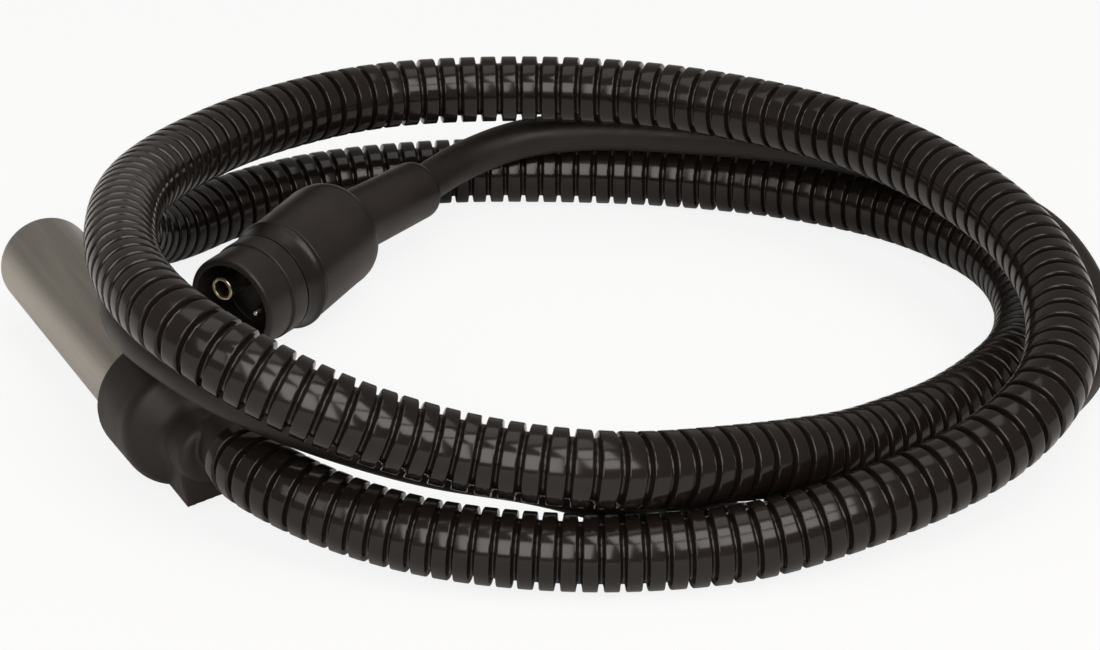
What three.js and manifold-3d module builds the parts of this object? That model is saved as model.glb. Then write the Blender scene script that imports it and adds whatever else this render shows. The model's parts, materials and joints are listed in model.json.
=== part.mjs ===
// Wheel speed sensor with its corrugated conduit, its cable and its two-pole plug.
// Units are millimetres and +Z is up. The floor is z = 0.
// The sensor lies along Y with its sensing face toward +Y.
import * as THREE from 'three';
import Module from 'manifold-3d';
import { mergeVertices } from 'three/addons/utils/BufferGeometryUtils.js';

const wasm = await Module();
wasm.setup();

// Fits and mesh fineness.
const GAP = 0.3;
const ROUND = 40;
const SMALL_ROUND = 20;

// Sensor barrel, all on one axis at the height of the head's radius.
const BARREL_R = 8;
const SLEEVE_WALL = 0.6;
const TIP_WALL = 0.9;
const TIP_EDGE = 1.2;
const TIP_Y = 42;
const LIP_Y = -14;
const LIP_R = 8.9;
const LIP_THICK = 0.8;
const BORE_R = BARREL_R - SLEEVE_WALL;

// Moulded head.
const HEAD_R = 10.6;
const AXIS_Z = HEAD_R;
const HEAD_FRONT_Y = LIP_Y - LIP_THICK - GAP;
const HEAD_BACK_Y = -28;
const HEAD_EDGE = 1.6;
const SPIGOT_R = BORE_R - GAP;
const SPIGOT_FRONT_Y = -6;
const HOLLOW_R = 4.6;
const LUG_WIDE = 9.6;
const LUG_ROLL = -10;
const LUG_BACK_Y = -35.7;
const LUG_TOP = -0.5;
const LUG_BOTTOM = -8.4;
const BLOCK_R = 5.6;
const BLOCK_BACK_Y = -38;
const NECK_X = 3;
const NECK_Z = 12;
const NECK_R = 4.9;
const NECK_BACK_Y = -42;

// O-ring between sleeve and head.
const RING_TUBE = 0.85;
const RING_Y = -10.5;
const RING_R = BORE_R - RING_TUBE - GAP;
const RING_GROOVE_HALF = RING_TUBE + GAP;

// Magnetic stack inside the barrel.
const STACK_FRONT_Y = TIP_Y - TIP_WALL - GAP;
const POLE_R = 2;
const POLE_BACK_Y = 17;
const BOBBIN_TUBE_R = 3.3;
const BOBBIN_FLANGE_R = BORE_R - 0.6;
const BOBBIN_FLANGE = 1.2;
const BOBBIN_BACK_Y = 18.4;
const WINDING_R = 6.2;
const MAGNET_R = 4;
const MAGNET_FRONT_Y = POLE_BACK_Y - GAP;
const MAGNET_LONG = 12;

// Carrier with the two terminals.
const CARRIER_R = SPIGOT_R - 0.2;
const CARRIER_FRONT_Y = BOBBIN_BACK_Y - GAP;
const CARRIER_BACK_Y = SPIGOT_FRONT_Y + GAP;
const TERMINAL_X = 2.1;
const TERMINAL_THICK = 0.6;
const TERMINAL_WIDE = 1.8;
const TERMINAL_FRONT_Y = 2;
const TERMINAL_BACK_Y = -19;
const SLOT_DEPTH = TERMINAL_FRONT_Y + GAP - CARRIER_BACK_Y;

// Conduit and cable.
const CONDUIT_R = 5.8;
const CONDUIT_BORE_R = 4.2;
const CONDUIT_SIDES = 12;
const CABLE_R = 3.5;
const CABLE_SIDES = 10;
const CABLE_START_Y = -31;
const CABLE_START_STEPS = 2;
const CORE_R = 0.8;
const CORE_OFFSET = 1.4;
const CORE_START_X = 1.8;
const CORE_STRAIGHT = 1.2;

// Plug, along its own axis from the open rim (0) to the end of the boot.
const PLUG_RIM = new THREE.Vector3(22.8, 13.3, 9.3);
const PLUG_REAR = new THREE.Vector3(0.858, 0.512, 0.04).normalize();
const NOSE_R = 8.5;
const NOSE_STEP_R = 8.75;
const NOSE_STEP = 5.3;
const NOSE_LONG = 9.7;
const RECESS_R = 7.3;
const RECESS_DEEP = 8.2;
const INSERT_R = 7.2;
const INSERT_BACK = 24;
const COLLAR_R = 9.7;
const COLLAR_LONG = 3.9;
const BODY_R = 9.45;
const BODY_FRONT = NOSE_LONG + GAP + COLLAR_LONG + GAP;
const BODY_BACK = 31.5;
const BODY_EDGE = 4;
const BOOT_FRONT_R = 5.4;
const BOOT_BACK_R = 5.1;
const BOOT_BACK = 54;
const CABLE_IN_PLUG = 28;
const CONTACT_OFFSET = 3.25;
const CONTACT_ROLL = 46;
const SOCKET_R = 2;
const SOCKET_BORE_R = 1.45;
const SOCKET_FRONT = 0.7;
const PIN_R = 1.15;
const PIN_FRONT = 3.6;
const CONTACT_BACK = 21;
const BOSS_R = 3;
const BOSS_FRONT = 1.6;

// Route of the conduit's centre, from the head round twice.
const CONDUIT_ROUTE = [
  [3, -42.3, 12], [3, -45.5, 12], [4.9, -51, 11.4], [9, -57, 9.9], [14.8, -63, 8.2], [22, -69.2, 6.9],
  [34, -77.5, 6], [53, -86.5, 5.8], [66, -90, 6.2], [79, -91.7, 7.9], [92, -91.6, 9.6],
  [105, -90.1, 12.1], [119, -84.6, 16], [132, -69, 20], [139, -48, 22.8],
  [139, -24, 24.6], [134, -2, 25.2], [123, 18, 25.2], [108, 34, 25.2], [88, 46, 25.2],
  [66, 52, 25.4], [44, 47, 26.6], [25, 35, 28.6], [10, 19, 31.2], [0, -1, 34], [-6, -23, 35.6],
  [-5, -45, 35.4], [8, -60, 28], [27, -70, 20.5], [46, -80.8, 18.1], [68, -80.9, 14.4],
  [80, -78.8, 12], [90, -75.7, 9.7], [100, -72, 8.2], [111, -67.6, 6.9], [122, -61.8, 6.1], [135, -52.8, 5.8],
  [146, -38.5, 5.8], [152.4, -17, 5.8], [148.4, 4, 5.8], [136, 23, 5.8], [119, 38, 5.8],
  [100, 49.5, 5.8], [78, 59, 5.8], [57, 62.5, 5.8], [40, 59.8, 5.8], [28.2, 54.2, 6.2], [19.6, 47.8, 9],
  [14, 41, 13.2],
];

// Route of the bare cable's centre, from the end of the conduit to the boot.
const FREE_ROUTE = [
  [14, 41, 13.2], [10.6, 32.5, 16.8], [7.6, 23, 20], [4, 12, 22.2], [-0.5, 0, 23.6], [-5.5, -19, 25.3],
  [-4.8, -32, 26], [-0.5, -43, 24.4], [7, -50, 21], [16, -55.2, 17.3], [27, -60.5, 13.6], [41, -68, 11.1],
  [55, -75, 6.6], [67, -80.4, 3.7], [80, -83.4, 3.6], [92, -83.4, 3.6], [104, -82, 3.6], [117, -77, 3.6],
  [130, -69, 3.6], [143, -60.5, 4.8], [153, -46.5, 9], [155, -31, 14], [152.6, -16, 15.4], [148, -1, 15.4],
  [141, 13, 15.4], [130, 25, 15.4], [117, 35, 15.4], [104, 43, 15.3], [91.5, 47.5, 14.2],
  [80, 46.6, 12.4],
];

// Reduces a geometry to shared corners and drops empty faces, with the faces turned outward.
function tidy(geometry) {
  let source = geometry.index ? geometry : mergeVertices(geometry);
  source.deleteAttribute('normal');
  source.deleteAttribute('uv');
  source = mergeVertices(source, 1e-4);
  const position = source.attributes.position;
  const index = source.index.array;
  const faces = [];
  let volume = 0;
  const a = new THREE.Vector3();
  const b = new THREE.Vector3();
  const c = new THREE.Vector3();
  for (let i = 0; i < index.length; i += 3) {
    const [p, q, r] = [index[i], index[i + 1], index[i + 2]];
    if (p === q || q === r || r === p) continue;
    a.fromBufferAttribute(position, p);
    b.fromBufferAttribute(position, q);
    c.fromBufferAttribute(position, r);
    volume += a.dot(b.cross(c));
    faces.push([p, q, r]);
  }
  const ordered = faces.flatMap(([p, q, r]) => (volume < 0 ? [p, r, q] : [p, q, r]));
  const clean = new THREE.BufferGeometry();
  clean.setAttribute('position', position);
  clean.setIndex(ordered);
  return clean;
}

function toManifold(geometry) {
  const clean = tidy(geometry);
  return new wasm.Manifold(new wasm.Mesh({
    numProp: 3,
    vertProperties: new Float32Array(clean.attributes.position.array),
    triVerts: new Uint32Array(clean.index.array),
  }));
}

function fromManifold(body) {
  const mesh = body.getMesh();
  const geometry = new THREE.BufferGeometry();
  geometry.setAttribute('position', new THREE.BufferAttribute(new Float32Array(mesh.vertProperties), 3));
  geometry.setIndex(new THREE.BufferAttribute(new Uint32Array(mesh.triVerts), 1));
  return geometry;
}

// Joins the first list of geometries and takes the second list away.
function shaped(solids, holes = []) {
  let body = toManifold(solids[0]);
  for (const solid of solids.slice(1)) body = body.add(toManifold(solid));
  for (const hole of holes) body = body.subtract(toManifold(hole));
  return fromManifold(body);
}

// Turns a profile of [radius, height] pairs about the Y axis.
function turned(profile, segments = ROUND) {
  return tidy(new THREE.LatheGeometry(profile.map(([r, y]) => new THREE.Vector2(r, y)), segments));
}

function rod(radius, y0, y1, segments = ROUND) {
  return turned([[0, y0], [radius, y0], [radius, y1], [0, y1]], segments);
}

// Radius of a hole whose flats stay one gap clear of the round piece in it.
function holeRadius(radius, segments) {
  return (radius + GAP) / Math.cos(Math.PI / segments);
}

function tube(inner, outer, y0, y1, segments = ROUND) {
  return turned([[inner, y0], [outer, y0], [outer, y1], [inner, y1], [inner, y0]], segments);
}

function boxBetween(x0, x1, y0, y1, z0, z1) {
  const box = new THREE.BoxGeometry(x1 - x0, y1 - y0, z1 - z0);
  box.translate((x0 + x1) / 2, (y0 + y1) / 2, (z0 + z1) / 2);
  return box;
}

function ringTorus(radius, tubeRadius, y) {
  const torus = new THREE.TorusGeometry(radius, tubeRadius, 12, ROUND);
  torus.rotateX(Math.PI / 2);
  torus.translate(0, y, 0);
  return tidy(torus);
}

// A curve read at evenly counted stations, so that two tubes on it share their corners.
class StationCurve extends THREE.Curve {
  constructor(stations) {
    super();
    this.stations = stations;
  }

  getPoint(t, target = new THREE.Vector3()) {
    const place = t * (this.stations.length - 1);
    const low = Math.min(Math.floor(place), this.stations.length - 2);
    return target.lerpVectors(this.stations[low], this.stations[low + 1], place - low);
  }

  getUtoTmapping(u) {
    return u;
  }

  getTangent(t, target = new THREE.Vector3()) {
    const place = Math.round(t * (this.stations.length - 1));
    const before = this.stations[Math.max(place - 1, 0)];
    const after = this.stations[Math.min(place + 1, this.stations.length - 1)];
    return target.subVectors(after, before).normalize();
  }
}

function ringShape(outer, inner, sides) {
  const circle = (radius) => Array.from({ length: sides }, (_, i) => {
    const angle = (2 * Math.PI * i) / sides;
    return new THREE.Vector2(radius * Math.cos(angle), radius * Math.sin(angle));
  });
  const shape = new THREE.Shape(circle(outer));
  if (inner > 0) shape.holes.push(new THREE.Path(circle(inner)));
  return shape;
}

function along(stations, outer, inner, sides) {
  return tidy(new THREE.ExtrudeGeometry(ringShape(outer, inner, sides), {
    steps: stations.length - 1,
    bevelEnabled: false,
    extrudePath: new StationCurve(stations),
  }));
}

const group = new THREE.Group();

function add(name, geometry, color, metalness, roughness, matrix) {
  const placed = geometry.clone();
  if (matrix) placed.applyMatrix4(matrix);
  const shown = tidy(placed).toNonIndexed();
  shown.computeVertexNormals();
  const mesh = new THREE.Mesh(shown, new THREE.MeshStandardMaterial({ color, metalness, roughness }));
  mesh.name = name;
  group.add(mesh);
  return mesh;
}

// Sensor: everything below is turned about Y and then lifted to the axis height.
const onAxis = new THREE.Matrix4().makeTranslation(0, 0, AXIS_Z);
const lipBack = LIP_Y - LIP_THICK;
add('sensor_sleeve', turned([
  [0, TIP_Y - TIP_WALL], [BORE_R, TIP_Y - TIP_WALL], [BORE_R, lipBack], [LIP_R, lipBack],
  [LIP_R, LIP_Y], [BARREL_R, LIP_Y], [BARREL_R, TIP_Y - TIP_EDGE],
  [BARREL_R - TIP_EDGE * 0.29, TIP_Y - TIP_EDGE * 0.29], [BARREL_R - TIP_EDGE, TIP_Y], [0, TIP_Y],
]), 0xa39a8d, 0.9, 0.4, onAxis);

add('pole_pin', rod(POLE_R, POLE_BACK_Y, STACK_FRONT_Y, SMALL_ROUND), 0x8c8c8c, 0.9, 0.4, onAxis);
add('magnet', rod(MAGNET_R, MAGNET_FRONT_Y - MAGNET_LONG, MAGNET_FRONT_Y, SMALL_ROUND), 0x55585c, 0.8, 0.5, onAxis);

const bobbinInner = POLE_R + GAP;
add('coil_bobbin', turned([
  [bobbinInner, BOBBIN_BACK_Y], [BOBBIN_FLANGE_R, BOBBIN_BACK_Y],
  [BOBBIN_FLANGE_R, BOBBIN_BACK_Y + BOBBIN_FLANGE], [BOBBIN_TUBE_R, BOBBIN_BACK_Y + BOBBIN_FLANGE],
  [BOBBIN_TUBE_R, STACK_FRONT_Y - BOBBIN_FLANGE], [BOBBIN_FLANGE_R, STACK_FRONT_Y - BOBBIN_FLANGE],
  [BOBBIN_FLANGE_R, STACK_FRONT_Y], [bobbinInner, STACK_FRONT_Y], [bobbinInner, BOBBIN_BACK_Y],
], 32), 0xd8cfb8, 0, 0.6, onAxis);
add('coil_winding', tube(
  BOBBIN_TUBE_R + GAP, WINDING_R,
  BOBBIN_BACK_Y + BOBBIN_FLANGE + GAP, STACK_FRONT_Y - BOBBIN_FLANGE - GAP, 32,
), 0xb06a34, 0.7, 0.4, onAxis);

const slots = [-1, 1].map((side) => boxBetween(
  side * TERMINAL_X - TERMINAL_THICK / 2 - GAP, side * TERMINAL_X + TERMINAL_THICK / 2 + GAP,
  CARRIER_BACK_Y - 1, CARRIER_BACK_Y + SLOT_DEPTH,
  -TERMINAL_WIDE / 2 - GAP, TERMINAL_WIDE / 2 + GAP,
));
const magnetPocket = rod(
  holeRadius(MAGNET_R, SMALL_ROUND), MAGNET_FRONT_Y - MAGNET_LONG - GAP, CARRIER_FRONT_Y + 1, SMALL_ROUND,
);
add('insert_carrier', shaped(
  [rod(CARRIER_R, CARRIER_BACK_Y, CARRIER_FRONT_Y, 32)], [magnetPocket, ...slots],
), 0xcfc7ad, 0, 0.6, onAxis);

for (const [name, side] of [['terminal_left', -1], ['terminal_right', 1]]) {
  add(name, boxBetween(
    side * TERMINAL_X - TERMINAL_THICK / 2, side * TERMINAL_X + TERMINAL_THICK / 2,
    TERMINAL_BACK_Y, TERMINAL_FRONT_Y, -TERMINAL_WIDE / 2, TERMINAL_WIDE / 2,
  ), 0xb9964a, 0.8, 0.35, onAxis);
}

add('sleeve_o_ring', ringTorus(RING_R, RING_TUBE, RING_Y), 0x1d1d1d, 0, 0.8, onAxis);

// Head: disc, rear block, lug and neck in one moulding, hollow for the terminals and cable.
const neckX = NECK_X;
const neckZ = NECK_Z - AXIS_Z;
const disc = turned([
  [0, HEAD_BACK_Y - 1], [HEAD_R - 3, HEAD_BACK_Y - 1], [HEAD_R - 1, HEAD_BACK_Y],
  [HEAD_R, HEAD_BACK_Y + HEAD_EDGE], [HEAD_R, HEAD_FRONT_Y - 0.6], [HEAD_R - 0.6, HEAD_FRONT_Y],
  [SPIGOT_R, HEAD_FRONT_Y], [SPIGOT_R, RING_Y - RING_GROOVE_HALF],
  [RING_R - RING_TUBE - GAP, RING_Y - RING_GROOVE_HALF], [RING_R - RING_TUBE - GAP, RING_Y + RING_GROOVE_HALF],
  [SPIGOT_R, RING_Y + RING_GROOVE_HALF], [SPIGOT_R, SPIGOT_FRONT_Y], [0, SPIGOT_FRONT_Y],
]);
const block = turned([
  [0, BLOCK_BACK_Y], [BLOCK_R - 1.5, BLOCK_BACK_Y], [BLOCK_R, BLOCK_BACK_Y + 1.5],
  [BLOCK_R, HEAD_BACK_Y + 1], [0, HEAD_BACK_Y + 1],
], 32);
const lug = boxBetween(-LUG_WIDE / 2, LUG_WIDE / 2, LUG_BACK_Y, HEAD_BACK_Y + 1, LUG_BOTTOM, LUG_TOP);
lug.rotateY(THREE.MathUtils.degToRad(LUG_ROLL));
const neck = rod(NECK_R, NECK_BACK_Y, BLOCK_BACK_Y + 3, 28);
neck.translate(neckX, 0, neckZ);
const cableBore = rod(holeRadius(CABLE_R, 24), NECK_BACK_Y - 1, CABLE_START_Y + GAP, 24);
cableBore.translate(neckX, 0, neckZ);
const hollow = rod(HOLLOW_R, CABLE_START_Y - 0.5, SPIGOT_FRONT_Y + 1, 24);
add('head_overmould', shaped([disc, block, lug, neck], [hollow, cableBore]), 0x1b1a19, 0, 0.6, onAxis);

// Conduit and cable share their stations wherever the cable runs inside the conduit.
const conduitStations = CONDUIT_ROUTE.map((p) => new THREE.Vector3(...p));
add('conduit', along(conduitStations, CONDUIT_R, CONDUIT_BORE_R, CONDUIT_SIDES), 0x191817, 0, 0.45);

const plugPoint = (distance) => PLUG_RIM.clone().addScaledVector(PLUG_REAR, distance);
const bootEnd = plugPoint(BOOT_BACK);
const cableEnd = plugPoint(CABLE_IN_PLUG);
const headStations = Array.from({ length: CABLE_START_STEPS }, (_, i) => new THREE.Vector3(
  NECK_X, THREE.MathUtils.lerp(CABLE_START_Y, CONDUIT_ROUTE[0][1], i / CABLE_START_STEPS), NECK_Z,
));
const freeStations = FREE_ROUTE.slice(1).map((p) => new THREE.Vector3(...p));
add('sensor_cable', along(
  [...headStations, ...conduitStations, ...freeStations, bootEnd, cableEnd], CABLE_R, 0, CABLE_SIDES,
), 0x1c1b1a, 0, 0.6);

// Insulated cores from the cable's end to the terminals.
for (const [name, side] of [['core_wire_a', -1], ['core_wire_b', 1]]) {
  add(name, along([
    new THREE.Vector3(CORE_START_X + side * CORE_OFFSET, CABLE_START_Y + GAP, NECK_Z - 0.4),
    new THREE.Vector3(CORE_START_X + side * CORE_OFFSET, CABLE_START_Y + GAP + CORE_STRAIGHT, NECK_Z - 0.4),
    new THREE.Vector3(side * 1.8 + 0.8, -26.5, AXIS_Z + 0.7),
    new THREE.Vector3(side * TERMINAL_X, -23, AXIS_Z),
    new THREE.Vector3(side * TERMINAL_X, TERMINAL_BACK_Y - GAP, AXIS_Z),
  ], CORE_R, 0, 8), side < 0 ? 0x6b3f24 : 0x2c4a78, 0, 0.6);
}

// Plug: turned about its own axis and laid down along the plug direction.
const sideways = new THREE.Vector3(PLUG_REAR.y, -PLUG_REAR.x, 0).normalize();
const upward = new THREE.Vector3().crossVectors(sideways, PLUG_REAR);
const onPlug = new THREE.Matrix4().makeBasis(sideways, PLUG_REAR, upward).setPosition(PLUG_RIM);
const rollAngle = THREE.MathUtils.degToRad(CONTACT_ROLL);
const contactX = CONTACT_OFFSET * Math.cos(rollAngle);
const contactZ = CONTACT_OFFSET * Math.sin(rollAngle);

function at(geometry, x, z) {
  const moved = geometry.clone();
  moved.translate(x, 0, z);
  return moved;
}

const insertOuter = turned([
  [0, 0], [NOSE_R - 0.6, 0], [NOSE_R, 0.6], [NOSE_R, NOSE_STEP], [NOSE_STEP_R, NOSE_STEP + 0.3],
  [NOSE_STEP_R, NOSE_LONG], [INSERT_R, NOSE_LONG], [INSERT_R, INSERT_BACK], [0, INSERT_BACK],
]);
const recess = rod(RECESS_R, -1, RECESS_DEEP);
const boss = at(rod(BOSS_R, BOSS_FRONT, RECESS_DEEP + 1, 24), -contactX, contactZ);
const socketHole = at(rod(holeRadius(SOCKET_R, 24), -1, INSERT_BACK + 1, 24), -contactX, contactZ);
const pinRadius = holeRadius(PIN_R, SMALL_ROUND);
const pinHole = at(rod(pinRadius, -1, INSERT_BACK + 1, SMALL_ROUND), contactX, -contactZ);
const shell = toManifold(insertOuter).subtract(toManifold(recess)).add(toManifold(boss));
const insert = shell.subtract(toManifold(socketHole)).subtract(toManifold(pinHole));
add('plug_insert', fromManifold(insert), 0x161514, 0, 0.55, onPlug);

add('plug_collar', turned([
  [INSERT_R + GAP, NOSE_LONG + GAP], [COLLAR_R - 0.6, NOSE_LONG + GAP],
  [COLLAR_R, NOSE_LONG + GAP + 0.6], [COLLAR_R, BODY_FRONT - GAP - 0.5],
  [COLLAR_R - 0.5, BODY_FRONT - GAP], [INSERT_R + GAP, BODY_FRONT - GAP], [INSERT_R + GAP, NOSE_LONG + GAP],
]), 0x131312, 0, 0.7, onPlug);

const bootBore = holeRadius(CABLE_R, ROUND);
add('plug_body', turned([
  [INSERT_R + GAP, BODY_FRONT], [BODY_R, BODY_FRONT], [BODY_R, BODY_BACK - BODY_EDGE],
  [BODY_R - 0.5, BODY_BACK - BODY_EDGE * 0.45], [BODY_R - 1.6, BODY_BACK - BODY_EDGE * 0.12],
  [BODY_R - 2.8, BODY_BACK], [BOOT_FRONT_R, BODY_BACK + 0.4], [BOOT_BACK_R, BOOT_BACK],
  [bootBore, BOOT_BACK], [bootBore, CABLE_IN_PLUG - 1], [INSERT_R + GAP, CABLE_IN_PLUG - 1],
  [INSERT_R + GAP, BODY_FRONT],
]), 0x22211f, 0, 0.65, onPlug);

const slit = boxBetween(-SOCKET_R - 1, SOCKET_R + 1, SOCKET_FRONT - 1, SOCKET_FRONT + 5, -0.2, 0.2);
const socketTube = rod(SOCKET_R, SOCKET_FRONT, CONTACT_BACK, 24);
const socketBore = rod(SOCKET_BORE_R, SOCKET_FRONT - 1, SOCKET_FRONT + 9, 24);
const socketBlank = shaped([socketTube], [socketBore, slit]);
add('socket_contact', at(socketBlank, -contactX, contactZ), 0xc9a24c, 0.9, 0.25, onPlug);
const pinBlank = turned([
  [0, PIN_FRONT], [PIN_R * 0.45, PIN_FRONT], [PIN_R, PIN_FRONT + 1], [PIN_R, CONTACT_BACK], [0, CONTACT_BACK],
], SMALL_ROUND);
add('pin_contact', at(pinBlank, contactX, -contactZ), 0xc9c3b4, 0.9, 0.25, onPlug);

for (const [name, side] of [['plug_core_a', -1], ['plug_core_b', 1]]) {
  const local = [
    [side * CORE_OFFSET, CABLE_IN_PLUG - GAP, -side * CORE_OFFSET],
    [side * CORE_OFFSET, CABLE_IN_PLUG - GAP - CORE_STRAIGHT, -side * CORE_OFFSET],
    [side * contactX, INSERT_BACK - GAP, -side * contactZ],
    [side * contactX, CONTACT_BACK + GAP, -side * contactZ],
  ];
  const stations = local.map((p) => new THREE.Vector3(...p).applyMatrix4(onPlug));
  add(name, along(stations, CORE_R, 0, 8), side < 0 ? 0x6b3f24 : 0x2c4a78, 0, 0.6);
}

export default group;
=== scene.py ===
"""Wheel speed sensor with its conduit, cable and plug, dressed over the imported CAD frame.

Sizes are in metres, in the row frame. Lists written in millimetres are scaled by MM.
"""

import json
import math

import bpy
import numpy as np
from mathutils import Matrix, Vector


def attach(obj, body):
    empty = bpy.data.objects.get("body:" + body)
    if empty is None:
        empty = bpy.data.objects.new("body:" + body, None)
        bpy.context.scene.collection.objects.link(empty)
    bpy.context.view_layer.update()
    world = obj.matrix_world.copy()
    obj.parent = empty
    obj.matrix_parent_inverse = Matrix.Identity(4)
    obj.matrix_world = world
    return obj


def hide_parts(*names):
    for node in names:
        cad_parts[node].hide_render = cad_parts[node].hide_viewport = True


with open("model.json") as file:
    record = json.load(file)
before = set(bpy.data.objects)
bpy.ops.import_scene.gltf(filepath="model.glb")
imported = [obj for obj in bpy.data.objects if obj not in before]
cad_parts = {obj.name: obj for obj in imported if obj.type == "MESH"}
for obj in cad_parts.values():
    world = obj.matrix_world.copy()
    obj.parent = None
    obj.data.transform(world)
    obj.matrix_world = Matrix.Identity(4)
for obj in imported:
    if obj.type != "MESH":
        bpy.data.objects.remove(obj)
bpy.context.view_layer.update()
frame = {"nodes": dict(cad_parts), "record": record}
scene = bpy.context.scene
MM = 0.001

# Camera, at the photograph's viewing angle. Sensor and lens are in millimetres.
CAMERA_PLACE = (-0.1612, -0.4963, 0.2630)
CAMERA_TARGET = (0.0760, 0.0016, 0.0)
CAMERA_SENSOR = 36
CAMERA_LENS = 117.4
CAMERA_NEAR = 0.01

camera_data = bpy.data.cameras.new("camera")
camera_data.sensor_width = CAMERA_SENSOR
camera_data.lens = CAMERA_LENS
camera_data.clip_start = CAMERA_NEAR
camera = bpy.data.objects.new("camera", camera_data)
camera.location = CAMERA_PLACE
sight = Vector(CAMERA_TARGET) - Vector(CAMERA_PLACE)
camera.rotation_euler = sight.to_track_quat("-Z", "Y").to_euler()
scene.collection.objects.link(camera)
scene.camera = camera

# Cord facts and routes, the same as in the part's source.
CONDUIT_R = 0.0058
CONDUIT_BORE_R = 0.0042
CABLE_R = 0.0035

# Look of the conduit and the cable, which the part's source leaves plain.
RIDGE_PITCH = 0.0035
GROOVE_DEPTH = 0.0012
END_BORE_DEPTH = 6 * MM
END_FLOOR_R = 0.0032
MOULD_LINE_RISE = 0.07 * MM
CONDUIT_SIDES = 36
CABLE_SIDES = 28
CABLE_RING_STEP = 0.002
WIDEST_MARGIN = 0.0002

# The ridges lie a little closer or wider along the hose, as it is pushed together or drawn out.
STRETCH_PLACES = (0.0, 0.06, 0.13, 0.2, 0.32, 0.5, 0.66, 0.75, 0.85, 1.0)
STRETCH_SHARES = (0.86, 0.87, 1.0, 1.08, 1.06, 0.97, 0.97, 0.97, 0.94, 0.92)

CONDUIT_ROUTE = [
    (0.003, -0.0423, 0.012), (0.003, -0.0455, 0.012), (0.0049, -0.051, 0.0114),
    (0.009, -0.057, 0.0099), (0.0148, -0.063, 0.0082), (0.022, -0.0692, 0.0069),
    (0.034, -0.0775, 0.006), (0.053, -0.0865, 0.0058), (0.066, -0.09, 0.0062),
    (0.079, -0.0917, 0.0079), (0.092, -0.0916, 0.0096), (0.105, -0.0901, 0.0121),
    (0.119, -0.0846, 0.016), (0.132, -0.069, 0.02), (0.139, -0.048, 0.0228), (0.139, -0.024, 0.0246),
    (0.134, -0.002, 0.0252), (0.123, 0.018, 0.0252), (0.108, 0.034, 0.0252), (0.088, 0.046, 0.0252),
    (0.066, 0.052, 0.0254), (0.044, 0.047, 0.0266), (0.025, 0.035, 0.0286), (0.01, 0.019, 0.0312),
    (0, -0.001, 0.034), (-0.006, -0.023, 0.0356), (-0.005, -0.045, 0.0354), (0.008, -0.06, 0.028),
    (0.027, -0.07, 0.0205), (0.046, -0.0808, 0.0181), (0.068, -0.0809, 0.0144), (0.08, -0.0788, 0.012),
    (0.09, -0.0757, 0.0097), (0.1, -0.072, 0.0082), (0.111, -0.0676, 0.0069), (0.122, -0.0618, 0.0061),
    (0.135, -0.0528, 0.0058), (0.146, -0.0385, 0.0058), (0.1524, -0.017, 0.0058),
    (0.1484, 0.004, 0.0058), (0.136, 0.023, 0.0058), (0.119, 0.038, 0.0058), (0.1, 0.0495, 0.0058),
    (0.078, 0.059, 0.0058), (0.057, 0.0625, 0.0058), (0.04, 0.0598, 0.0058), (0.0282, 0.0542, 0.0062),
    (0.0196, 0.0478, 0.009), (0.014, 0.041, 0.0132),
]
FREE_ROUTE = [
    (0.014, 0.041, 0.0132), (0.0106, 0.0325, 0.0168), (0.0076, 0.023, 0.02), (0.004, 0.012, 0.0222),
    (-0.0005, 0, 0.0236), (-0.0055, -0.019, 0.0253), (-0.0048, -0.032, 0.026),
    (-0.0005, -0.043, 0.0244), (0.007, -0.05, 0.021), (0.016, -0.0552, 0.0173),
    (0.027, -0.0605, 0.0136), (0.041, -0.068, 0.0111), (0.055, -0.075, 0.0066),
    (0.067, -0.0804, 0.0037), (0.08, -0.0834, 0.0036), (0.092, -0.0834, 0.0036),
    (0.104, -0.082, 0.0036), (0.117, -0.077, 0.0036), (0.13, -0.069, 0.0036), (0.143, -0.0605, 0.0048),
    (0.153, -0.0465, 0.009), (0.155, -0.031, 0.014), (0.1526, -0.016, 0.0154), (0.148, -0.001, 0.0154),
    (0.141, 0.013, 0.0154), (0.13, 0.025, 0.0154), (0.117, 0.035, 0.0154), (0.104, 0.043, 0.0153),
    (0.0915, 0.0475, 0.0142), (0.08, 0.0466, 0.0124),
]

NECK_PLACE = (0.003, 0, 0.012)
PLUG_RIM = Vector((0.0228, 0.0133, 0.0093))
PLUG_REAR = Vector((0.858, 0.512, 0.04)).normalized()
PLUG_SIDE = Vector((PLUG_REAR.y, -PLUG_REAR.x, 0)).normalized()
PLUG_UP = PLUG_SIDE.cross(PLUG_REAR)
BOOT_END = 0.054
CABLE_IN_BOOT = (0.046, 0.038)


def plug_point(distance):
    """A point on the plug's axis, that far behind its rim."""
    return PLUG_RIM + PLUG_REAR * distance


def smooth_line(route, step=0.001, rounds=12):
    """Points about one step apart on one smooth curve through the route."""
    knots = np.array(route, dtype=float)
    gaps = np.linalg.norm(np.diff(knots, axis=0), axis=1)
    slopes = np.diff(knots, axis=0) / gaps[:, None]
    inner = slopes[1:] * gaps[:-1, None] + slopes[:-1] * gaps[1:, None]
    inner = inner / (gaps[1:] + gaps[:-1])[:, None]
    tangents = np.vstack([slopes[0], inner, slopes[-1]])
    line = [knots[:1]]
    for i, gap in enumerate(gaps):
        t = np.linspace(0, 1, 33)[1:, None]
        line.append(
            (2 * t**3 - 3 * t**2 + 1) * knots[i] + (t**3 - 2 * t**2 + t) * gap * tangents[i]
            + (3 * t**2 - 2 * t**3) * knots[i + 1] + (t**3 - t**2) * gap * tangents[i + 1]
        )
    line = evenly(np.vstack(line), step)
    for _ in range(rounds):
        line[1:-1] += 0.5 * ((line[:-2] + line[2:]) / 2 - line[1:-1])
    return evenly(line, step)


def distances(line):
    """Distance along the line from its start to each point."""
    return np.concatenate([[0.0], np.cumsum(np.linalg.norm(np.diff(line, axis=0), axis=1))])


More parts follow.
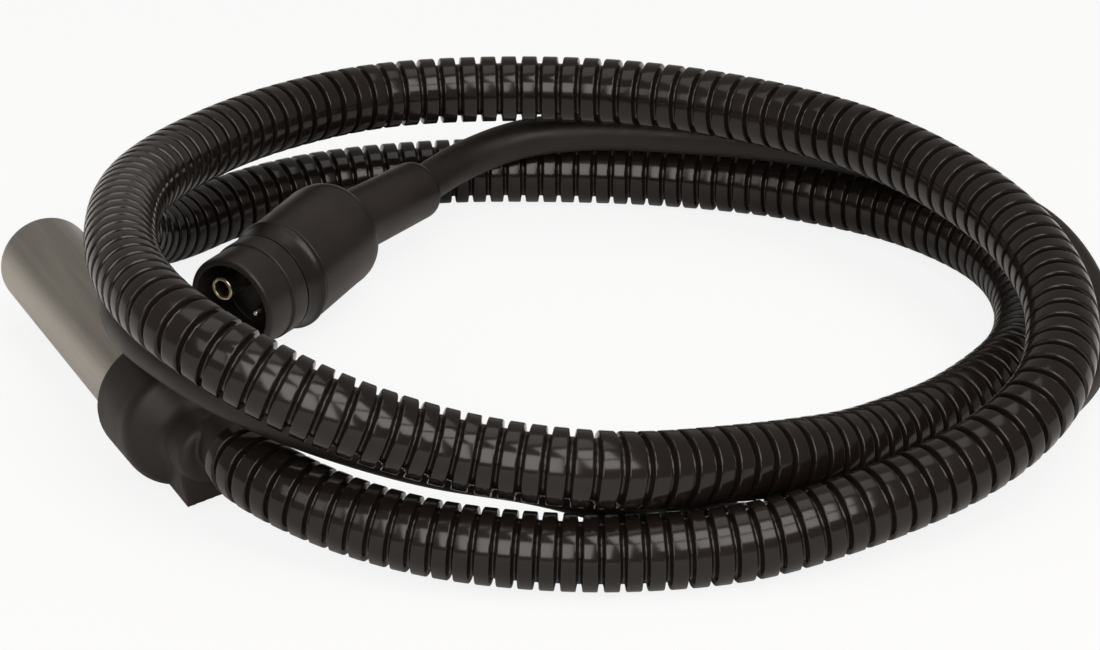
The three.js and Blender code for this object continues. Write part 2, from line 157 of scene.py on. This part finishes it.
def evenly(line, step):
    """The same line with its points about one step apart."""
    along = distances(line)
    places = np.linspace(0, along[-1], max(2, round(along[-1] / step) + 1))
    return np.column_stack([np.interp(places, along, line[:, k]) for k in range(3)])


def carried_frames(line):
    """Two directions across the line at each point, turned as little as possible on the way."""
    tangents = np.gradient(line, axis=0)
    tangents /= np.linalg.norm(tangents, axis=1)[:, None]
    first = np.cross(tangents[0], (0, 0, 1))
    across = [first / np.linalg.norm(first)]
    for tangent in tangents[1:]:
        kept = across[-1] - tangent * np.dot(across[-1], tangent)
        across.append(kept / np.linalg.norm(kept))
    across = np.array(across)
    return across, np.cross(tangents, across)


def mesh_object(name, points, faces, smooth=True):
    """A new object in the scene made of these points and faces."""
    mesh = bpy.data.meshes.new(name)
    mesh.from_pydata([tuple(p) for p in points], [], faces)
    mesh.polygons.foreach_set("use_smooth", [smooth] * len(mesh.polygons))
    mesh.update()
    piece = bpy.data.objects.new(name, mesh)
    scene.collection.objects.link(piece)
    return piece


def ring_faces(rings, sides, closed=False):
    """Quads between neighbouring rings of points."""
    faces = []
    for i in range(rings if closed else rings - 1):
        a = i * sides
        b = ((i + 1) % rings) * sides
        for j in range(sides):
            k = (j + 1) % sides
            faces.append((a + j, a + k, b + k, b + j))
    return faces


def sweep(name, line, stations, sides, seam=0.0):
    """A closed tube with a ring for each station (distance, radius).

    Seam raises the widest rings by that much on two lines, on opposite sides, as a mould's parting does.
    """
    along = distances(line)
    across, other = carried_frames(line)
    places = np.array([s[0] for s in stations])
    radii = np.array([s[1] for s in stations])

    def read(values):
        return np.column_stack([np.interp(places, along, values[:, k]) for k in range(3)])

    centre, u, v = read(line), read(across), read(other)
    angles = np.arange(sides) * 2 * math.pi / sides
    lift = np.zeros(sides)
    lift[[sides // 8, sides // 8 + sides // 2]] = seam
    widest = radii > radii.max() - WIDEST_MARGIN
    reach = radii[:, None] + lift[None, :] * widest[:, None]
    outward = np.cos(angles)[None, :, None] * u[:, None, :] + np.sin(angles)[None, :, None] * v[:, None, :]
    points = (centre[:, None, :] + reach[:, :, None] * outward).reshape(-1, 3)
    faces = ring_faces(len(stations), sides)
    last = (len(stations) - 1) * sides
    faces.append(tuple(range(sides - 1, -1, -1)))
    faces.append(tuple(range(last, last + sides)))
    return mesh_object(name, points, faces)


def conduit_stations(length):
    """Rings of a corrugated pipe: flat-topped ridges with rounded corners, and a short bore at each end."""
    top = CONDUIT_R
    low = top - GROOVE_DEPTH
    wall = low + 0.5 * MM
    shoulder = top - 0.14 * MM
    edge = top - 0.015 * MM
    ridge = (
        (0.09, low), (0.125, wall), (0.15, shoulder), (0.185, edge), (0.23, top),
        (0.77, top), (0.815, edge), (0.85, shoulder), (0.875, wall), (0.91, low),
    )
    edges = [0.0]
    while edges[-1] < length:
        stretch = np.interp(edges[-1] / length, STRETCH_PLACES, STRETCH_SHARES)
        edges.append(edges[-1] + RIDGE_PITCH * stretch)
    edges = np.array(edges) * length / edges[-1]
    rings = [
        (END_BORE_DEPTH, END_FLOOR_R), (END_BORE_DEPTH, CONDUIT_BORE_R), (0.0, CONDUIT_BORE_R), (0.0, low),
    ]
    for start, pitch in zip(edges[:-1], np.diff(edges)):
        rings += [(start + place * pitch, radius) for place, radius in ridge]
    rings += [
        (length, low), (length, CONDUIT_BORE_R),
        (length - END_BORE_DEPTH, CONDUIT_BORE_R), (length - END_BORE_DEPTH, END_FLOOR_R),
    ]
    return rings


conduit_line = smooth_line(CONDUIT_ROUTE)
conduit_length = distances(conduit_line)[-1]
conduit = sweep(
    "conduit_corrugated", conduit_line, conduit_stations(conduit_length), CONDUIT_SIDES, seam=MOULD_LINE_RISE,
)

# The cable starts inside the conduit's end and stops inside the boot.
cable_route = (
    [CONDUIT_ROUTE[-2]] + FREE_ROUTE + [tuple(plug_point(back)) for back in (BOOT_END, *CABLE_IN_BOOT)]
)
cable_line = smooth_line(cable_route)
cable_length = distances(cable_line)[-1]
cable_rings = [(d, CABLE_R) for d in np.linspace(0, cable_length, round(cable_length / CABLE_RING_STEP))]
cable = sweep("cable_smooth", cable_line, cable_rings, CABLE_SIDES)


def turned(name, profile, place, sides=96):
    """Turns a closed profile of (radius, distance) pairs in millimetres about its own Y axis."""
    rings = len(profile)
    points = []
    for radius, along in profile:
        for j in range(sides):
            angle = 2 * math.pi * j / sides
            local = Vector((radius * math.cos(angle), along, radius * math.sin(angle))) * MM
            points.append(place @ local)
    return mesh_object(name, points, ring_faces(rings, sides, closed=True))


def rounded(corners, steps=5):
    """A profile whose corners are (radius, distance, rounding) with the rounding drawn as an arc."""
    out = []
    count = len(corners)
    for i, (r, y, size) in enumerate(corners):
        here = Vector((r, y))
        if size == 0:
            out.append((r, y))
            continue
        before = Vector(corners[i - 1][:2]) - here
        after = Vector(corners[(i + 1) % count][:2]) - here
        near = here + before.normalized() * min(size, before.length / 2)
        far = here + after.normalized() * min(size, after.length / 2)
        for k in range(steps + 1):
            t = k / steps
            point = near * (1 - t) ** 2 + here * 2 * t * (1 - t) + far * t**2
            out.append((point.x, point.y))
    return out


# Places of the turned pieces: their Y runs along the sensor's axis, or from the plug's rim to its rear.
AXIS_HEIGHT = 10.6
on_axis = Matrix.Translation((0, 0, AXIS_HEIGHT * MM))
on_neck = Matrix.Translation(NECK_PLACE)
on_plug = Matrix((
    (PLUG_SIDE.x, PLUG_REAR.x, PLUG_UP.x, PLUG_RIM.x),
    (PLUG_SIDE.y, PLUG_REAR.y, PLUG_UP.y, PLUG_RIM.y),
    (PLUG_SIDE.z, PLUG_REAR.z, PLUG_UP.z, PLUG_RIM.z),
    (0, 0, 0, 1),
))

sleeve = turned("steel_barrel", rounded([
    (0.01, 41.1, 0), (7.3, 41.1, 0.2), (7.4, -14.8, 0), (8.9, -14.8, 0.12), (8.9, -14.0, 0.3),
    (8.0, -14.0, 0.15), (8.0, 42.0, 1.5), (0.01, 42.0, 0),
]), place=on_axis)

nose = turned("plug_nose", rounded([
    (0.01, 8.2, 0), (7.3, 8.2, 0.3), (7.3, 0, 0.25), (8.5, 0, 0.9), (8.55, 5.6, 0.15), (8.35, 5.75, 0.05),
    (8.35, 6.0, 0.05), (8.8, 6.2, 0.2), (8.8, 9.7, 0.1), (7.2, 9.7, 0), (7.2, 24, 0), (0.01, 24, 0),
]), place=on_plug)

collar = turned("plug_ring", rounded([
    (7.5, 9.95, 0), (8.8, 9.95, 0.1), (8.85, 10.6, 0.5), (9.2, 12.4, 1.2), (9.65, 13.1, 0.15),
    (9.75, 13.4, 0.12), (9.75, 13.8, 0.12), (7.5, 13.8, 0),
]), place=on_plug)

body = turned("plug_housing", rounded([
    (7.5, 14.1, 0), (9.5, 14.1, 0.3), (9.5, 31.6, 4.2), (5.6, 31.9, 0.8), (5.3, 53, 0.8), (4.6, 54, 0.4),
    (3.65, 54, 0.1), (3.65, 30, 0), (7.5, 27, 0),
]), place=on_plug)


def eased(value, start, end):
    """Rises softly from 0 at the start to 1 at the end."""
    t = min(1.0, max(0.0, (value - start) / (end - start)))
    return t * t * (3 - 2 * t)


# The soft housing sags sideways behind the ring, as in the photograph, and meets the cable at the boot.
HOUSING_SAG = Vector((0, 0.0021, 0.0002))
SAG_GROWS = (0.0142, 0.021)
SAG_ENDS = (0.036, 0.053)
to_plug = on_plug.inverted()
for corner in body.data.vertices:
    back = (to_plug @ corner.co).y
    corner.co += HOUSING_SAG * (eased(back, *SAG_GROWS) - eased(back, *SAG_ENDS))

# The two contacts lie on one line through the plug's axis.
CONTACT_ROLL = math.radians(46)
CONTACT_OFFSET = 3.25
contact_side = CONTACT_OFFSET * math.cos(CONTACT_ROLL) * MM
contact_up = CONTACT_OFFSET * math.sin(CONTACT_ROLL) * MM
on_socket = on_plug @ Matrix.Translation((-contact_side, 0, contact_up))
on_pin = on_plug @ Matrix.Translation((contact_side, 0, -contact_up))


def solid_from(pieces, name, voxel, smoothing):
    """Melts overlapping pieces into one moulded skin with softened edges; smoothing is a number of rounds."""
    merged = bpy.data.meshes.new(name)
    points, faces = [], []
    for piece in pieces:
        start = len(points)
        points += [tuple(v.co) for v in piece.data.vertices]
        faces += [tuple(start + i for i in p.vertices) for p in piece.data.polygons]
        bpy.data.objects.remove(piece)
    merged.from_pydata(points, [], faces)
    whole = bpy.data.objects.new(name, merged)
    scene.collection.objects.link(whole)
    remesh = whole.modifiers.new("melt", "REMESH")
    remesh.mode = "VOXEL"
    remesh.voxel_size = voxel
    soften = whole.modifiers.new("soften", "SMOOTH")
    soften.factor = 0.5
    soften.iterations = smoothing
    view = bpy.context.evaluated_depsgraph_get()
    baked = bpy.data.meshes.new_from_object(whole.evaluated_get(view))
    baked.polygons.foreach_set("use_smooth", [True] * len(baked.polygons))
    whole.modifiers.clear()
    whole.data = baked
    return whole


def block_between(name, low, high, roll):
    """A box between two corners in millimetres from the sensor's axis, rolled about it."""
    x0, y0, z0 = low
    x1, y1, z1 = high
    turn = Matrix.Rotation(roll, 4, "Y")
    points = [
        on_axis @ turn @ (Vector((x, y, z)) * MM)
        for y in (y0, y1) for x, z in ((x0, z0), (x1, z0), (x1, z1), (x0, z1))
    ]
    faces = [(0, 1, 2, 3), (7, 6, 5, 4), (0, 4, 5, 1), (1, 5, 6, 2), (2, 6, 7, 3), (3, 7, 4, 0)]
    return mesh_object(name, points, faces, smooth=False)


# Head: a disc behind the barrel's lip with its trunk, a lug underneath and the neck that the conduit meets.
LUG_ROLL = math.radians(-10)
HEAD_VOXEL = 0.25 * MM
HEAD_SMOOTHING = 3
disc = turned("head_disc", rounded([
    (0.01, -6, 0), (7.1, -6, 0), (7.1, -15.1, 0), (10.3, -15.1, 0.5), (10.1, -27.6, 1.8), (7.6, -29.2, 1.4),
    (5.2, -31.2, 1.2), (4.9, -38, 1.6), (0.01, -38, 0),
], steps=6), place=on_axis)
lug = block_between("head_lug", (-4.8, -36.2, -8.4), (4.8, -28, -0.5), LUG_ROLL)
neck = turned("head_neck", [(0.01, -36), (4.9, -36), (4.9, -42), (0.01, -42)], place=on_neck)
head = solid_from([disc, lug, neck], "moulded_head", HEAD_VOXEL, HEAD_SMOOTHING)

socket = turned("socket_ring", rounded([
    (1.5, 0.7, 0.15), (2.1, 0.7, 0.3), (2.1, 12, 0), (1.5, 12, 0),
]), sides=48, place=on_socket)

# A small notch across the socket's rim stands for its slit.
NOTCH_REACH = 0.0012
NOTCH_HALF_WIDTH = 0.0003
NOTCH_DEPTH = 0.0006
for corner in socket.data.vertices:
    local = on_socket.inverted() @ corner.co
    if local.y < NOTCH_REACH and abs(local.x + local.z) < NOTCH_HALF_WIDTH:
        corner.co += PLUG_REAR * NOTCH_DEPTH
pin = turned("pin_round", rounded([
    (0.01, 3.4, 0), (0.35, 3.4, 0.2), (0.85, 4.2, 0.5), (1.15, 5.4, 0.6), (1.15, 12, 0), (0.01, 12, 0),
]), sides=32, place=on_pin)

# Each piece of the scene: its object, its material slot and the node of the part that it stands for.
DRESSED = [
    (conduit, "conduit_plastic", "conduit"),
    (cable, "cable_jacket", "sensor_cable"),
    (sleeve, "steel_sleeve", "sensor_sleeve"),
    (head, "head_plastic", "head_overmould"),
    (nose, "plug_plastic", "plug_insert"),
    (collar, "collar_rubber", "plug_collar"),
    (body, "plug_plastic", "plug_body"),
    (socket, "contact_gold", "socket_contact"),
    (pin, "contact_tin", "pin_contact"),
]

NOISE_LOW, NOISE_HIGH = 0.3, 0.7
NOISE_DETAIL = 6
BUMP_HEIGHT = 0.0001


def surface(name, color, metallic=0.0, roughness=0.5, specular=0.5, mottle=0.15, grain=60.0,
            stretch=(1, 1, 1), bump=0.0):
    """A procedural finish: noise varies colour and roughness a little, and may raise a fine bump."""
    material = bpy.data.materials.new(name)
    material.use_nodes = True
    nodes, links = material.node_tree.nodes, material.node_tree.links
    shader = nodes["Principled BSDF"]
    shader.inputs["Metallic"].default_value = metallic
    shader.inputs["Specular IOR Level"].default_value = specular
    where = nodes.new("ShaderNodeTexCoord")
    scale = nodes.new("ShaderNodeMapping")
    scale.inputs["Scale"].default_value = stretch
    links.new(where.outputs["Object"], scale.inputs["Vector"])
    noise = nodes.new("ShaderNodeTexNoise")
    noise.inputs["Scale"].default_value = grain
    noise.inputs["Detail"].default_value = NOISE_DETAIL
    links.new(scale.outputs["Vector"], noise.inputs["Vector"])
    ramp = nodes.new("ShaderNodeValToRGB")
    for stop, factor in zip(ramp.color_ramp.elements, (1 - mottle, 1 + mottle)):
        stop.color = (*[min(1.0, c * factor) for c in color], 1)
    ramp.color_ramp.elements[0].position = NOISE_LOW
    ramp.color_ramp.elements[1].position = NOISE_HIGH
    links.new(noise.outputs["Fac"], ramp.inputs["Fac"])
    links.new(ramp.outputs["Color"], shader.inputs["Base Color"])
    rough = nodes.new("ShaderNodeMapRange")
    rough.inputs["From Min"].default_value = NOISE_LOW
    rough.inputs["From Max"].default_value = NOISE_HIGH
    rough.inputs["To Min"].default_value = roughness * (1 - mottle)
    rough.inputs["To Max"].default_value = roughness * (1 + mottle)
    links.new(noise.outputs["Fac"], rough.inputs["Value"])
    links.new(rough.outputs["Result"], shader.inputs["Roughness"])
    if bump:
        raised = nodes.new("ShaderNodeBump")
        raised.inputs["Strength"].default_value = bump
        raised.inputs["Distance"].default_value = BUMP_HEIGHT
        links.new(noise.outputs["Fac"], raised.inputs["Height"])
        links.new(raised.outputs["Normal"], shader.inputs["Normal"])
    return material


finishes = {
    "steel_sleeve": surface(
        "satin steel", (0.4, 0.375, 0.335), metallic=1.0, roughness=0.36, mottle=0.12, grain=40,
        stretch=(14, 0.6, 14),
    ),
    "steel_core": surface("plain steel", (0.4, 0.4, 0.4), metallic=1.0, roughness=0.35),
    "magnet_metal": surface("magnet", (0.2, 0.2, 0.22), metallic=0.8, roughness=0.4),
    "coil_copper": surface("copper winding", (0.55, 0.22, 0.08), metallic=0.9, roughness=0.35, grain=300),
    "inner_plastic": surface("cream plastic", (0.6, 0.54, 0.4), roughness=0.5),
    "terminal_brass": surface("brass strip", (0.6, 0.42, 0.16), metallic=1.0, roughness=0.3),
    "seal_rubber": surface("black rubber", (0.012, 0.012, 0.012), roughness=0.7),
    "head_plastic": surface(
        "black moulding", (0.0145, 0.0115, 0.0098), roughness=0.5, specular=0.3, mottle=0.2, grain=120,
        bump=0.15,
    ),
    "conduit_plastic": surface(
        "conduit black", (0.0095, 0.0068, 0.0056), roughness=0.15, specular=0.33, mottle=0.2, grain=90,
    ),
    "cable_jacket": surface(
        "cable black", (0.0155, 0.0122, 0.0104), roughness=0.45, specular=0.28, mottle=0.15, grain=150,
        bump=0.1,
    ),
    "core_brown": surface("brown core", (0.12, 0.05, 0.02), roughness=0.5),
    "core_blue": surface("blue core", (0.03, 0.07, 0.2), roughness=0.5),
    "plug_plastic": surface(
        "plug black", (0.0185, 0.0148, 0.0126), roughness=0.38, specular=0.32, mottle=0.15, grain=120,
        bump=0.1,
    ),
    "collar_rubber": surface(
        "ring black", (0.0095, 0.0075, 0.0065), roughness=0.35, specular=0.32, mottle=0.15, grain=120,
    ),
    "contact_gold": surface("gold contact", (0.72, 0.62, 0.47), metallic=1.0, roughness=0.28),
    "contact_tin": surface("tin contact", (0.75, 0.72, 0.66), metallic=1.0, roughness=0.25),
}

replaced = set()
for piece, slot_name, node_name in DRESSED:
    piece.data.materials.append(finishes[slot_name])
    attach(piece, "root")
    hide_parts(node_name)
    replaced.add(node_name)

# The inner nodes stay as they are in the CAD, and only take the finish of their slot.
slot_of = {s["node"]: s["material_slot"] for s in frame["record"]["subparts"]}
for name, node in frame["nodes"].items():
    if name not in replaced:
        node.data.materials.clear()
        node.data.materials.append(finishes[slot_of[name]])

# Floor, backdrop and light. The floor's glow is seen by the camera only, and leaves the soft shadow in sight.
FLOOR_REACH = 3
FLOOR_DROP = 0.0002
FLOOR_COLOR = (0.82, 0.82, 0.82, 1)
FLOOR_GLOW = 0.86
LAMP_COLOR = (1, 0.95, 0.9)
WORLD_STRENGTH = 0.3

floor_corners = [(x * FLOOR_REACH, y * FLOOR_REACH, 0) for x, y in ((-1, -1), (1, -1), (1, 1), (-1, 1))]
floor_mesh = mesh_object("floor", floor_corners, [(0, 1, 2, 3)], smooth=False)
floor_mesh.location.z = -FLOOR_DROP
pale = bpy.data.materials.new("pale floor")
pale.use_nodes = True
floor_nodes, floor_links = pale.node_tree.nodes, pale.node_tree.links
floor_nodes["Principled BSDF"].inputs["Base Color"].default_value = FLOOR_COLOR
floor_nodes["Principled BSDF"].inputs["Roughness"].default_value = 0.9
floor_nodes["Principled BSDF"].inputs["Specular IOR Level"].default_value = 0.1
glow = floor_nodes.new("ShaderNodeEmission")
seen = floor_nodes.new("ShaderNodeLightPath")
share = floor_nodes.new("ShaderNodeMath")
share.operation = "MULTIPLY"
share.inputs[1].default_value = FLOOR_GLOW
blend = floor_nodes.new("ShaderNodeMixShader")
floor_links.new(seen.outputs["Is Camera Ray"], share.inputs[0])
floor_links.new(share.outputs[0], blend.inputs["Fac"])
floor_links.new(floor_nodes["Principled BSDF"].outputs["BSDF"], blend.inputs[1])
floor_links.new(glow.outputs["Emission"], blend.inputs[2])
floor_links.new(blend.outputs["Shader"], floor_nodes["Material Output"].inputs["Surface"])
floor_mesh.data.materials.append(pale)

world = bpy.data.worlds.new("studio")
scene.world = world
world.use_nodes = True
sky_nodes, sky_links = world.node_tree.nodes, world.node_tree.links
backdrop = sky_nodes["Background"]
backdrop.inputs["Color"].default_value = (*LAMP_COLOR, 1)
backdrop.inputs["Strength"].default_value = WORLD_STRENGTH
white = sky_nodes.new("ShaderNodeBackground")
white.inputs["Color"].default_value = (1, 1, 1, 1)
white.inputs["Strength"].default_value = 1.0
path = sky_nodes.new("ShaderNodeLightPath")
choose = sky_nodes.new("ShaderNodeMixShader")
sky_links.new(path.outputs["Is Camera Ray"], choose.inputs["Fac"])
sky_links.new(backdrop.outputs["Background"], choose.inputs[1])
sky_links.new(white.outputs["Background"], choose.inputs[2])
sky_links.new(choose.outputs["Shader"], sky_nodes["World Output"].inputs["Surface"])


COIL_MIDDLE = (0.07, -0.01, 0)
LAMP_REACH = 0.9


def aimed(azimuth, elevation):
    """A lamp's place around the coil's middle, in degrees; azimuth 0 is toward +Y and 90 toward +X."""
    az, el = math.radians(azimuth), math.radians(elevation)
    return (
        COIL_MIDDLE[0] + LAMP_REACH * math.sin(az) * math.cos(el),
        COIL_MIDDLE[1] + LAMP_REACH * math.cos(az) * math.cos(el),
        LAMP_REACH * math.sin(el),
    )


def softbox(name, place, wide, high, watts):
    """A rectangular lamp that faces the coil's middle."""
    light = bpy.data.lights.new(name, "AREA")
    light.shape = "RECTANGLE"
    light.size = wide
    light.size_y = high
    light.energy = watts
    light.color = LAMP_COLOR
    lamp = bpy.data.objects.new(name, light)
    lamp.location = place
    aim = Vector(COIL_MIDDLE) - Vector(place)
    lamp.rotation_euler = aim.to_track_quat("-Z", "Y").to_euler()
    scene.collection.objects.link(lamp)


softbox("softbox front left", aimed(-146, 30), 0.32, 0.62, 3.0)
softbox("softbox front low", aimed(178, 38), 0.36, 0.34, 1.9)
softbox("softbox front high", aimed(178, 63), 0.36, 0.34, 1.9)
softbox("softbox left", aimed(-118, 32), 0.26, 0.40, 0.6)
softbox("softbox above", (0.07, 0.15, 1.1), 0.9, 0.6, 2.0)

scene.view_settings.view_transform = "Standard"
